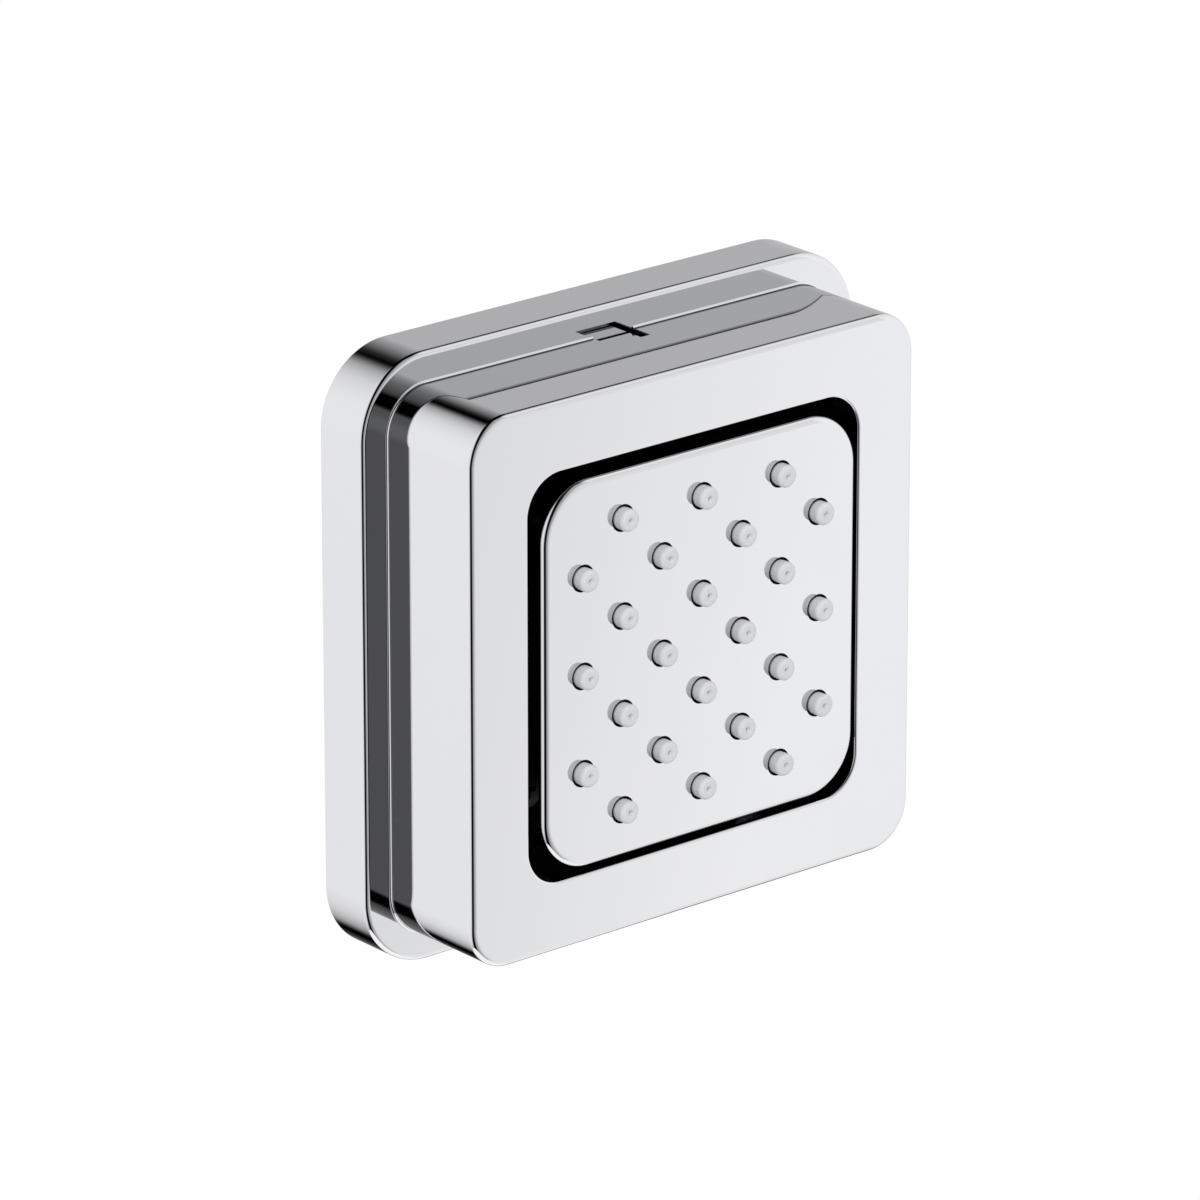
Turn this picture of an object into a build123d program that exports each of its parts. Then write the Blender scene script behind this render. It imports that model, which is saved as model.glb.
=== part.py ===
from build123d import *
import os
from math import sqrt

# Square shower body jet. Millimetres, +Z up, wall plane at Y = 0, the jet faces -Y.
# A depth is a distance from the wall plane towards the bather, so depth d lies at Y = -d.

# Wall plate, a chromed square cover that lies on the tiles
plate_size = 100.0
plate_depth = 10.0
plate_corner = 12.5
plate_wall = 3.0
plate_face_wall = 2.5
plate_hole_r = 19.0
edge_round = 1.0
rib_thick = 1.5
rib_spread = 20.0
seal_groove_width = 1.4
seal_groove_depth = 1.6

# Head shell, the chromed square cover that stands in front of the wall plate
head_size = 90.0
head_front = 30.0
head_corner = 7.5
head_wall = 2.4
head_gap = 0.2
head_rear_round = 0.6
window_size = 67.0
window_corner = 6.4
window_round = 0.45
lip_depth = 5.0
lip_wall = 1.8
notch_width = 8.1
notch_depth = 4.1
lug_width = 9.0
lug_height = 1.0
lug_length = 2.0

# Spray face, the chromed plate that tilts in the window
window_gap = 1.75
face_proud = 1.5
face_corner = 9.2
face_wall = 1.8
face_round = 1.1
skirt_wall = 1.8
skirt_depth = 5.8

# Nozzles, moulded in one mat and pushed through the holes of the face
nozzle_margin = 7.75
nozzle_steps = 3
nozzle_hole_r = 2.3
nozzle_r = 2.08
nozzle_shoulder_r = 1.85
nozzle_shoulder = 1.2
nozzle_tip_r = 1.35
nozzle_height = 2.0
orifice_r = 0.45
mat_thick = 1.1

# Spray chamber behind the mat
water_gap = 2.0
chamber_wall = 1.8
chamber_rim = 3.0
chamber_play = 0.2
water_hole_r = 4.0
chamber_groove_depth = 1.3
chamber_groove_width = 1.8
boss_inset = 5.4
boss_r = 2.75

# Ball joint
ball_r = 6.5
ball_clear = 0.2
neck_r = 4.3
passage_r = 3.0
seat_ring_thick = 1.5
seat_ring_front = 0.5
seat_ring_back = 4.1
ball_seal_length = 3.6
ball_seal_inner_r = 4.3
collar_bore_r = 7.9
collar_wall = 2.2
collar_inset = 0.9
nut_wall = 2.4
nut_reach = 6.5
nut_open_r = 6.3
nut_grip = 5.0
nut_slots = 8
nut_slot_width = 3.0
nut_slot_depth = 1.0
thread_clear = 0.05
swing_room = 2.2

# Inlet of the ball union, a half-inch pipe thread drawn at its core diameter
thread_r = 9.315
recess_r = 8.4
recess_depth = 2.4
union_wall = 1.5
union_r = 13.0
union_clear = 0.1
hex_across_flats = 28.0
washer_thick = 1.8
washer_bore_r = 6.0
limiter_hole_r = 0.9
limiter_hole_ring_r = 3.4
strainer_thick = 0.6
strainer_hole_r = 0.8
strainer_hole_step = 1.4

# Wall bracket and the stack that clamps it
bracket_size = 78.0
bracket_corner = 6.5
bracket_base = 3.0
bracket_rim = 2.0
bracket_play = 0.3
collar_rise = 1.0
clamp_r = 17.4
gasket_thick = 1.0
clamp_washer_thick = 1.0
wall_hole_place = 31.0
wall_hole_r = 2.6
post_place = 24.5
post_r = 4.2

# Inner frame that carries the head shell
frame_floor = 2.5
frame_rim = 2.0
frame_play = 0.3
seat_gap = 0.2
tab_drop = 1.0
tab_width = 6.4
tab_play = 0.3

# Screws
screw_r = 1.5
screw_hole_r = 1.7
screw_play = 0.03
screw_head_r = 3.0
screw_head = 2.0
screw_tip_room = 0.4
drive_width = 0.9
drive_depth = 0.9
seal_play = 0.05

# Depths that follow from the sizes above
plate_inner = plate_depth - plate_face_wall
head_back = plate_depth + head_gap
head_inner = head_front - head_wall
frame_front = plate_depth + frame_floor
frame_top = head_inner - seat_gap
face_size = window_size - 2 * window_gap
face_front = head_front + face_proud
face_back = face_front - face_wall
mat_back = face_back - mat_thick
chamber_floor = mat_back - water_gap
chamber_back = chamber_floor - chamber_wall
ball_centre = chamber_back - ball_clear - ball_r
collar_back = ball_centre + collar_inset
nut_back = ball_centre - nut_reach
union_front = nut_back - swing_room
recess_end = union_front - union_wall
thread_depth = recess_end - recess_depth
collar_front = bracket_base + collar_rise
gasket_front = collar_front + gasket_thick
hex_back = gasket_front + clamp_washer_thick

# Sizes that follow from the sizes above
cavity_size = plate_size - 2 * plate_wall
cavity_corner = plate_corner - plate_wall
frame_size = head_size - 2 * head_wall - 2 * frame_play
frame_corner = head_corner - head_wall - frame_play
skirt_size = face_size - 2 * skirt_wall
skirt_corner = face_corner - skirt_wall
chamber_size = skirt_size - 2 * chamber_play
chamber_corner = skirt_corner - chamber_play
boss_place = chamber_size / 2 - boss_inset
nozzle_pitch = (face_size / 2 - nozzle_margin) / nozzle_steps
collar_r = collar_bore_r + collar_wall
nut_bore_r = collar_r + thread_clear
nut_r = nut_bore_r + nut_wall
seat_ring_inner = ball_r + ball_clear
seat_ring_outer = seat_ring_inner + seat_ring_thick
nut_seat = seat_ring_outer + ball_clear

# Half section through the jet's axis: x is the radius and y is the depth
SECTION = Plane(origin=(0, 0, 0), x_dir=(1, 0, 0), z_dir=(0, 0, -1))

os.makedirs("parts", exist_ok=True)


def at(depth):
    """Plane parallel to the wall at this depth, with X to the right and Z up."""
    return Plane.XZ.offset(depth)


def beside(radius, reach):
    """Leg of the right triangle with this hypotenuse and other leg: a point on a circle."""
    return sqrt(radius**2 - reach**2)


def nozzle_places():
    """Every second place of a square grid, so that the rows are staggered."""
    steps = range(-nozzle_steps, nozzle_steps + 1)
    return [
        (column * nozzle_pitch, row * nozzle_pitch)
        for column in steps
        for row in steps
        if (column + row) % 2
    ]


def corners(place):
    """Four places on the diagonals, at the same distance along X and Z."""
    return [(x, z) for x in (-place, place) for z in (-place, place)]


def finish(piece, name):
    """Label a finished piece and write its file."""
    piece.part.label = name
    export_step(piece.part, f"parts/{name}.step")


# Wall plate: a shallow box, open towards the wall, with a round hole for the inlet
with BuildPart() as wall_plate:
    with BuildSketch(at(0)):
        RectangleRounded(plate_size, plate_size, plate_corner)
    extrude(amount=plate_depth)
    fillet(wall_plate.faces().sort_by(Axis.Y)[0].edges(), edge_round)
    with BuildSketch(at(0)):
        RectangleRounded(cavity_size, cavity_size, cavity_corner)
    extrude(amount=plate_inner, mode=Mode.SUBTRACT)
    # Ribs stand on the four walls and stop just short of the bracket
    rib_end = bracket_size / 2 + bracket_play
    rib_length = cavity_size / 2 - rib_end
    with BuildSketch(at(bracket_base)):
        for turn in range(4):
            for side in (-rib_spread, rib_spread):
                with Locations(Location((0, 0, 0), (0, 0, 90 * turn))):
                    with Locations((rib_end + rib_length / 2, side)):
                        Rectangle(rib_length, rib_thick)
    extrude(amount=plate_inner - bracket_base)
    with BuildSketch(at(plate_inner)):
        Circle(plate_hole_r)
        with Locations(*corners(post_place)):
            Circle(screw_hole_r)
    extrude(amount=plate_face_wall, mode=Mode.SUBTRACT)
    # Groove for the seal, along the middle of the wall's rear edge
    groove_outer = plate_size - plate_wall + seal_groove_width
    groove_inner = plate_size - plate_wall - seal_groove_width
    with BuildSketch(at(0)):
        RectangleRounded(groove_outer, groove_outer, plate_corner - (plate_size - groove_outer) / 2)
        RectangleRounded(
            groove_inner, groove_inner, plate_corner - (plate_size - groove_inner) / 2, mode=Mode.SUBTRACT
        )
    extrude(amount=seal_groove_depth, mode=Mode.SUBTRACT)
finish(wall_plate, "wall_plate")

# Rim seal: a foam ring pressed into the groove
with BuildPart() as rim_seal:
    ring_outer = groove_outer - 2 * seal_play
    ring_inner = groove_inner + 2 * seal_play
    with BuildSketch(at(0)):
        RectangleRounded(ring_outer, ring_outer, plate_corner - (plate_size - ring_outer) / 2)
        RectangleRounded(
            ring_inner, ring_inner, plate_corner - (plate_size - ring_inner) / 2, mode=Mode.SUBTRACT
        )
    extrude(amount=seal_groove_depth)
finish(rim_seal, "rim_seal")

# Wall bracket: a moulded tray with a central bore, wall holes and four screw posts
with BuildPart() as wall_bracket:
    with BuildSketch(at(0)):
        RectangleRounded(bracket_size, bracket_size, bracket_corner)
    extrude(amount=plate_inner)
    with BuildSketch(at(bracket_base)):
        hollow = bracket_size - 2 * bracket_rim
        RectangleRounded(hollow, hollow, bracket_corner - bracket_rim)
    extrude(amount=plate_inner - bracket_base, mode=Mode.SUBTRACT)
    with BuildSketch(at(bracket_base)):
        with Locations(*corners(post_place)):
            Circle(post_r)
    extrude(amount=plate_inner - bracket_base)
    with BuildSketch(at(bracket_base)):
        Circle(clamp_r)
    extrude(amount=collar_rise)
    with BuildSketch(at(0)):
        Circle(union_r + union_clear)
        with Locations(*corners(wall_hole_place)):
            Circle(wall_hole_r)
    extrude(amount=collar_front, mode=Mode.SUBTRACT)
    with BuildSketch(at(bracket_base / 2)):
        with Locations(*corners(post_place)):
            Circle(screw_r + screw_play)
    extrude(amount=plate_inner - bracket_base / 2, mode=Mode.SUBTRACT)
finish(wall_bracket, "wall_bracket")

# Ball union: a turned brass nut with the pipe thread behind and the ball in front
with BuildPart() as ball_union:
    with BuildSketch(SECTION):
        with BuildLine():
            neck_end = (neck_r, ball_centre - beside(ball_r, neck_r))
            ball_front = (0, ball_centre + ball_r)
            Polyline(
                ball_front, (0, 0), (union_r, 0), (union_r, union_front), (neck_r, union_front), neck_end
            )
            ThreePointArc(neck_end, (ball_r, ball_centre), ball_front)
        make_face()
    revolve(axis=Axis.Y)
    with BuildSketch(at(hex_back)):
        RegularPolygon(hex_across_flats / 2, 6, major_radius=False)
    extrude(amount=union_front - hex_back)
    with BuildSketch(SECTION):
        with BuildLine():
            Polyline(
                (0, 0),
                (thread_r, 0),
                (thread_r, thread_depth),
                (recess_r, thread_depth),
                (recess_r, recess_end),
                (passage_r, recess_end),
                (passage_r, ball_centre + ball_r),
                (0, ball_centre + ball_r),
                close=True,
            )
        make_face()
    revolve(axis=Axis.Y, mode=Mode.SUBTRACT)
finish(ball_union, "ball_union")

# Gasket and steel washer between the bracket's collar and the union's hexagon
with BuildPart() as union_gasket:
    with BuildSketch(at(collar_front)):
        Circle(clamp_r)
        Circle(union_r + union_clear, mode=Mode.SUBTRACT)
    extrude(amount=gasket_thick)
finish(union_gasket, "union_gasket")

with BuildPart() as clamp_washer:
    with BuildSketch(at(gasket_front)):
        Circle(clamp_r)
        Circle(union_r + union_clear, mode=Mode.SUBTRACT)
    extrude(amount=clamp_washer_thick)
finish(clamp_washer, "clamp_washer")

# Strainer, washer and flow limiter lie in the recess at the end of the thread
with BuildPart() as inlet_strainer:
    with BuildSketch(at(recess_end - strainer_thick)):
        Circle(recess_r - union_clear)
        with HexLocations(strainer_hole_step, 5, 5, major_radius=False):
            Circle(strainer_hole_r, mode=Mode.SUBTRACT)
    extrude(amount=strainer_thick)
finish(inlet_strainer, "inlet_strainer")

with BuildPart() as inlet_washer:
    with BuildSketch(at(recess_end - strainer_thick - washer_thick)):
        Circle(recess_r - union_clear)
        Circle(washer_bore_r, mode=Mode.SUBTRACT)
    extrude(amount=washer_thick)
finish(inlet_washer, "inlet_washer")

with BuildPart() as flow_limiter:
    with BuildSketch(at(recess_end - strainer_thick - washer_thick)):
        Circle(washer_bore_r - union_clear)
        with PolarLocations(limiter_hole_ring_r, 4):
            Circle(limiter_hole_r, mode=Mode.SUBTRACT)
    extrude(amount=washer_thick)
finish(flow_limiter, "flow_limiter")

# Head shell: a box open towards the wall, with a lipped window in its front
with BuildPart() as head_shell:
    with BuildSketch(at(head_back)):
        RectangleRounded(head_size, head_size, head_corner)
    extrude(amount=head_front - head_back)
    fillet(head_shell.faces().sort_by(Axis.Y)[0].edges(), edge_round)
    fillet(head_shell.faces().sort_by(Axis.Y)[-1].edges(), head_rear_round)
    with BuildSketch(at(head_back)):
        room = head_size - 2 * head_wall
        RectangleRounded(room, room, head_corner - head_wall)
    extrude(amount=head_inner - head_back, mode=Mode.SUBTRACT)
    with BuildSketch(at(head_front - lip_depth)):
        lip = window_size + 2 * lip_wall
        RectangleRounded(lip, lip, window_corner + lip_wall)
    extrude(amount=lip_depth - head_wall)
    with BuildSketch(at(head_front)):
        RectangleRounded(window_size, window_size, window_corner)
    extrude(amount=-lip_depth, mode=Mode.SUBTRACT)
    front = head_shell.faces().sort_by(Axis.Y)[0]
    fillet(front.inner_wires()[0].edges(), window_round)
    # Notch in the top wall, open at its rear edge
    with BuildSketch(at(head_back)):
        with Locations((0, head_size / 2 - head_wall / 2)):
            Rectangle(notch_width, 2 * head_wall)
    extrude(amount=notch_depth, mode=Mode.SUBTRACT)
    # Snap lugs on the two side walls
    lug_place = frame_front + lug_length
    with BuildSketch(at(lug_place)):
        for side in (-1, 1):
            with Locations((side * (head_size / 2 - head_wall - lug_height / 2), 0)):
                Rectangle(lug_height, lug_width)
    extrude(amount=lug_length)
finish(head_shell, "head_shell")

# Inner frame: a tray screwed to the bracket, which the shell snaps over
with BuildPart() as inner_frame:
    with BuildSketch(at(plate_depth)):
        RectangleRounded(frame_size, frame_size, frame_corner)
    extrude(amount=frame_top - plate_depth)
    with BuildSketch(at(frame_front)):
        tray = frame_size - 2 * frame_rim
        RectangleRounded(tray, tray, frame_corner - frame_rim)
    extrude(amount=frame_top - frame_front, mode=Mode.SUBTRACT)
    with BuildSketch(at(plate_depth)):
        Circle(plate_hole_r)
        with Locations(*corners(post_place)):
            Circle(screw_hole_r)
    extrude(amount=frame_floor, mode=Mode.SUBTRACT)
    # Windows for the snap lugs
    with BuildSketch(at(lug_place - tab_play)):
        for side in (-1, 1):
            with Locations((side * (frame_size / 2 - frame_rim / 2), 0)):
                Rectangle(2 * frame_rim, lug_width + 2 * tab_play)
    extrude(amount=lug_length + 2 * tab_play, mode=Mode.SUBTRACT)
    # Tab that keys the shell at its notch
    tab_top = head_size / 2 - tab_drop
    tab_base = frame_size / 2 - frame_rim
    with BuildSketch(at(plate_depth)):
        with Locations((0, (tab_top + tab_base) / 2)):
            Rectangle(tab_width, tab_top - tab_base)
    extrude(amount=head_gap + notch_depth - tab_play)
finish(inner_frame, "inner_frame")


def cross_head_screws(place, seat, tip, towards_wall):
    """Four pan-head screws with a cross drive, their heads on the depth called seat."""
    way = -1 if towards_wall else 1
    with BuildPart() as screws:
        with BuildSketch(at(seat)):
            with Locations(*corners(place)):
                Circle(screw_head_r)
        extrude(amount=-way * screw_head)
        with BuildSketch(at(seat)):
            with Locations(*corners(place)):
                Circle(screw_r)
        extrude(amount=way * abs(tip - seat))
        with BuildSketch(at(seat - way * screw_head)):
            with Locations(*corners(place)):
                Rectangle(2 * screw_r, drive_width)
                Rectangle(drive_width, 2 * screw_r)
        extrude(amount=way * drive_depth, mode=Mode.SUBTRACT)
    return screws


# Frame screws clamp the inner frame and the wall plate to the bracket's posts
frame_screws = cross_head_screws(post_place, frame_front, bracket_base / 2 + screw_tip_room, True)
finish(frame_screws, "frame_screws")

# Spray face: a pan with a rounded front edge, nozzle holes and four screw bosses
with BuildPart() as spray_face:
    with BuildSketch(at(face_front - skirt_depth)):
        RectangleRounded(face_size, face_size, face_corner)
    extrude(amount=skirt_depth)
    fillet(spray_face.faces().sort_by(Axis.Y)[0].edges(), face_round)
    with BuildSketch(at(face_front - skirt_depth)):
        RectangleRounded(skirt_size, skirt_size, skirt_corner)
    extrude(amount=skirt_depth - face_wall, mode=Mode.SUBTRACT)
    with BuildSketch(at(chamber_floor)):
        with Locations(*corners(boss_place)):
            Circle(boss_r)
            Circle(screw_r + screw_play, mode=Mode.SUBTRACT)
    extrude(amount=face_back - chamber_floor)
    with BuildSketch(at(face_front)):
        with Locations(*nozzle_places()):
            Circle(nozzle_hole_r)
    extrude(amount=-face_wall, mode=Mode.SUBTRACT)
finish(spray_face, "spray_face")

# One nozzle's half section, from the back of the mat to its tip
with BuildPart() as one_nozzle:
    with BuildSketch(SECTION):
        with BuildLine():
            Polyline(
                (0, mat_back),
                (nozzle_r, mat_back),
                (nozzle_r, face_front),
                (nozzle_shoulder_r, face_front + nozzle_shoulder),
                (nozzle_tip_r, face_front + nozzle_height),
                (0, face_front + nozzle_height),
                close=True,
            )
        make_face()
    revolve(axis=Axis.Y)

# Nozzle mat: one silicone sheet with all the nozzles
with BuildPart() as nozzle_mat:
    with BuildSketch(at(mat_back)):
        RectangleRounded(chamber_size, chamber_size, chamber_corner)
        with Locations(*corners(boss_place)):
            Circle(boss_r + chamber_play, mode=Mode.SUBTRACT)
    extrude(amount=mat_thick)
    with Locations(*[(x, 0, z) for x, z in nozzle_places()]):
        add(one_nozzle.part)
    with BuildSketch(at(mat_back)):
        with Locations(*nozzle_places()):
            Circle(orifice_r)
    extrude(amount=face_front + nozzle_height - mat_back, mode=Mode.SUBTRACT)
finish(nozzle_mat, "nozzle_mat")

# Spray chamber: the rear half of the head, with the collar that takes the ball
with BuildPart() as spray_chamber:
    with BuildSketch(at(chamber_back)):
        RectangleRounded(chamber_size, chamber_size, chamber_corner)
    extrude(amount=mat_back - chamber_back)
    with BuildSketch(at(chamber_floor)):
        pool = chamber_size - 2 * chamber_rim
        RectangleRounded(pool, pool, chamber_corner - chamber_rim)
        with Locations(*corners(boss_place)):
            Circle(boss_r + chamber_play)
    extrude(amount=water_gap, mode=Mode.SUBTRACT)
    with BuildSketch(at(collar_back)):
        Circle(collar_r)
        Circle(collar_bore_r, mode=Mode.SUBTRACT)
    extrude(amount=chamber_back - collar_back)
    with BuildSketch(at(chamber_back)):
        Circle(water_hole_r)
        with Locations(*corners(boss_place)):
            Circle(screw_hole_r)
    extrude(amount=chamber_wall, mode=Mode.SUBTRACT)
    # Groove round the side for the chamber seal
    groove_middle = (chamber_back + mat_back) / 2
    groove_floor = chamber_size - 2 * chamber_groove_depth
    with BuildSketch(at(groove_middle - chamber_groove_width / 2)):
        RectangleRounded(chamber_size, chamber_size, chamber_corner)
        RectangleRounded(
            groove_floor, groove_floor, chamber_corner - chamber_groove_depth, mode=Mode.SUBTRACT
        )
    extrude(amount=chamber_groove_width, mode=Mode.SUBTRACT)
finish(spray_chamber, "spray_chamber")

# Chamber seal: a square ring in the groove, against the skirt of the face
with BuildPart() as chamber_seal:
    seal_outer = skirt_size - 2 * seal_play
    seal_inner = groove_floor + 2 * seal_play
    with BuildSketch(at(groove_middle - chamber_groove_width / 2 + seal_play)):
        RectangleRounded(seal_outer, seal_outer, skirt_corner - seal_play)
        RectangleRounded(
            seal_inner,
            seal_inner,
            chamber_corner - chamber_groove_depth + seal_play,
            mode=Mode.SUBTRACT,
        )
    extrude(amount=chamber_groove_width - 2 * seal_play)
finish(chamber_seal, "chamber_seal")

# Face screws hold the chamber to the bosses of the face
face_screws = cross_head_screws(boss_place, chamber_back, face_back - screw_tip_room, False)
finish(face_screws, "face_screws")

# Ball seal: a lip ring in the collar, hollowed to the ball
with BuildPart() as ball_seal:
    seal_sphere = ball_r + ball_clear
    seal_back = chamber_back - ball_seal_length
    back_reach = seal_back - ball_centre
    front_edge = (ball_seal_inner_r, ball_centre + beside(seal_sphere, ball_seal_inner_r))
    back_edge = (beside(seal_sphere, back_reach), seal_back)
    middle_reach = (front_edge[1] + back_edge[1]) / 2 - ball_centre
    with BuildSketch(SECTION):
        with BuildLine():
            Polyline(
                back_edge,
                (collar_bore_r - seal_play, seal_back),
                (collar_bore_r - seal_play, chamber_back),
                (ball_seal_inner_r, chamber_back),
                front_edge,
            )
            ThreePointArc(
                front_edge, (beside(seal_sphere, middle_reach), ball_centre + middle_reach), back_edge
            )
        make_face()
    revolve(axis=Axis.Y)
finish(ball_seal, "ball_seal")

# Seat ring: a zone of a hollow sphere that floats between the ball and the nut
with BuildPart() as seat_ring:
    middle = (seat_ring_front + seat_ring_back) / 2
    with BuildSketch(SECTION):
        with BuildLine():
            inner_front = (beside(seat_ring_inner, seat_ring_front), ball_centre - seat_ring_front)
            outer_front = (beside(seat_ring_outer, seat_ring_front), ball_centre - seat_ring_front)
            inner_back = (beside(seat_ring_inner, seat_ring_back), ball_centre - seat_ring_back)
            outer_back = (beside(seat_ring_outer, seat_ring_back), ball_centre - seat_ring_back)
            Line(inner_front, outer_front)
            ThreePointArc(outer_front, (beside(seat_ring_outer, middle), ball_centre - middle), outer_back)
            Line(outer_back, inner_back)
            ThreePointArc(inner_back, (beside(seat_ring_inner, middle), ball_centre - middle), inner_front)
        make_face()
    revolve(axis=Axis.Y)
finish(seat_ring, "seat_ring")

# Socket nut: screwed on the collar, with a hollow seat and spanner slots
with BuildPart() as socket_nut:
    shoulder = collar_back - ball_clear
    open_reach = beside(nut_seat, nut_open_r)
    seat_edge = (nut_open_r, ball_centre - open_reach)
    with BuildSketch(SECTION):
        with BuildLine():
            Polyline(
                seat_edge,
                (nut_open_r, nut_back),
                (nut_r, nut_back),
                (nut_r, collar_back + nut_grip),
                (nut_bore_r, collar_back + nut_grip),
                (nut_bore_r, shoulder),
                (nut_seat, shoulder),
                (nut_seat, ball_centre),
            )
            ThreePointArc(
                (nut_seat, ball_centre),
                (beside(nut_seat, open_reach / 2), ball_centre - open_reach / 2),
                seat_edge,
            )
        make_face()
    revolve(axis=Axis.Y)
    with BuildSketch(at(nut_back)):
        with PolarLocations(nut_r, nut_slots):
            Rectangle(2 * nut_slot_depth, nut_slot_width)
    extrude(amount=nut_reach, mode=Mode.SUBTRACT)
finish(socket_nut, "socket_nut")
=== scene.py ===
# %% [markdown]
# # A square shower body jet
# This lesson dresses the solids of a wall-mounted shower jet for a picture. The packed
# solids load as a fixed frame, and everything here is in metres, in that same frame:
# +Z is up, the wall is the plane Y = 0 and the jet faces -Y.

# %% Load the frame
import math
import bpy
import numpy as np
from mathutils import Matrix, Vector
from mathutils.geometry import delaunay_2d_cdt


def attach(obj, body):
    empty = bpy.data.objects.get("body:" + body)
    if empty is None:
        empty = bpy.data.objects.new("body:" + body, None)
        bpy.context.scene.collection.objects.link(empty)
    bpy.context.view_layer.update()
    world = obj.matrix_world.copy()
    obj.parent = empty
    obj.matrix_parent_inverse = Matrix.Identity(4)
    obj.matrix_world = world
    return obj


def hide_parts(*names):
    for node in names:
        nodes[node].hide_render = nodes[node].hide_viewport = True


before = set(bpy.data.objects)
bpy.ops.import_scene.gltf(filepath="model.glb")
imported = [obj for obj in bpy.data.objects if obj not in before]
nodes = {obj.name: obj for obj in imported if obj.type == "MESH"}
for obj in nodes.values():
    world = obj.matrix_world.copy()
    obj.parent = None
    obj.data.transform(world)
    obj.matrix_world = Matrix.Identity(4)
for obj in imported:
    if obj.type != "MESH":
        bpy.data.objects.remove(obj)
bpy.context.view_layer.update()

# %% [markdown]
# ## The camera
# The picture was taken with a long lens from the left and above. The place and the lens
# were worked out from the straight edges of the plate and the head, so the camera is set
# by its three axes rather than by a target.

# %% Camera
MM = 0.001
TURN_LEFT = math.radians(40.0)
LOOK_DOWN = math.radians(20.0)
EYE_BACK, EYE_ASIDE, EYE_UP = 1386.99, 4.450, -1.778
LENS, SENSOR = 263.528, 36.0

sideways = Vector((math.cos(TURN_LEFT), -math.sin(TURN_LEFT), 0.0))
backwards = Vector((
    -math.sin(TURN_LEFT) * math.cos(LOOK_DOWN),
    -math.cos(TURN_LEFT) * math.cos(LOOK_DOWN),
    math.sin(LOOK_DOWN),
))
upwards = backwards.cross(sideways)
eye = (EYE_BACK * backwards + EYE_ASIDE * sideways + EYE_UP * upwards) * MM

camera = bpy.data.objects.new("camera", bpy.data.cameras.new("camera"))
camera.data.lens = LENS
camera.data.sensor_width = SENSOR
camera.data.clip_start = 0.05
camera.data.clip_end = 20.0
camera.matrix_world = Matrix((
    (sideways.x, upwards.x, backwards.x, eye.x),
    (sideways.y, upwards.y, backwards.y, eye.y),
    (sideways.z, upwards.z, backwards.z, eye.z),
    (0.0, 0.0, 0.0, 1.0),
))
bpy.context.scene.collection.objects.link(camera)
bpy.context.scene.camera = camera
bpy.context.scene.view_settings.view_transform = "Standard"
print("camera at", [round(value, 4) for value in eye])

# %% [markdown]
# ## Colours and nodes
# Colours are written as sRGB hex values, as a paint chart gives them. Shaders work in
# linear light, so one function converts them. A second one adds a node, sets what it is
# given and links what it is given. The others are its commonest uses.

# %% Helpers for colours and nodes
def linear(code):
    """Each channel s becomes s/12.92 if small, else ((s + 0.055)/1.055) to the power 2.4."""
    srgb = np.array([int(code[i:i + 2], 16) for i in (1, 3, 5)]) / 255.0
    curve = np.where(srgb <= 0.04045, srgb / 12.92, ((srgb + 0.055) / 1.055) ** 2.4)
    return (*(float(channel) for channel in curve), 1.0)


def node(tree, kind, values=None, links=None, **settings):
    """Add a node of this kind, set its settings and socket values, and link its inputs."""
    added = tree.nodes.new(kind)
    for name, value in settings.items():
        setattr(added, name, value)
    for socket, value in (values or {}).items():
        added.inputs[socket].default_value = value
    for socket, source in (links or {}).items():
        tree.links.new(source, added.inputs[socket])
    return added


def ranged(tree, amount, start, end, low=0.0, high=1.0):
    """An amount carried from the range start to end over to the range low to high, and kept there."""
    values = {1: start, 2: end, 3: low, 4: high}
    return node(tree, "ShaderNodeMapRange", values, {0: amount}).outputs[0]


def reckon(tree, operation, one, other):
    """One step of arithmetic on an amount and another one, which may be a plain number."""
    plain = isinstance(other, float)
    values = {1: other} if plain else {}
    links = {0: one} if plain else {0: one, 1: other}
    return node(tree, "ShaderNodeMath", values, links, operation=operation).outputs[0]


def tinted(tree, dark, light, share):
    """A colour between two hex colours, by a share from 0 to 1."""
    ends = {6: linear(dark), 7: linear(light)}
    return node(tree, "ShaderNodeMix", ends, {0: share}, data_type="RGBA").outputs[2]


def mixed(tree, share, one, other):
    """The first of two colours where the share is 0, and the second where it is 1."""
    return node(tree, "ShaderNodeMix", links={0: share, 6: one, 7: other}, data_type="RGBA").outputs[2]


def new_material(name):
    """An empty material, its node tree, and its shader, already linked to the output."""
    made = bpy.data.materials.new(name)
    made.use_nodes = True
    tree = made.node_tree
    shader = next(n for n in tree.nodes if n.type == "BSDF_PRINCIPLED")
    return made, tree, shader


print("mid grey #808080 is", round(linear("#808080")[0], 3), "in linear light")

# %% [markdown]
# ## What the chrome sees
# Chrome has almost no colour of its own: it shows the studio. A tall bright panel stands on
# each side of the picture's line of sight. The dark gap between them runs from the floor
# over the ceiling, and every rounded edge of the chrome shows it as one black line. A third,
# dimmer panel hangs behind the wall, below the ceiling. The brightness is written as ramps
# over the sideways part of a direction, which is simpler than building the panels.

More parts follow.
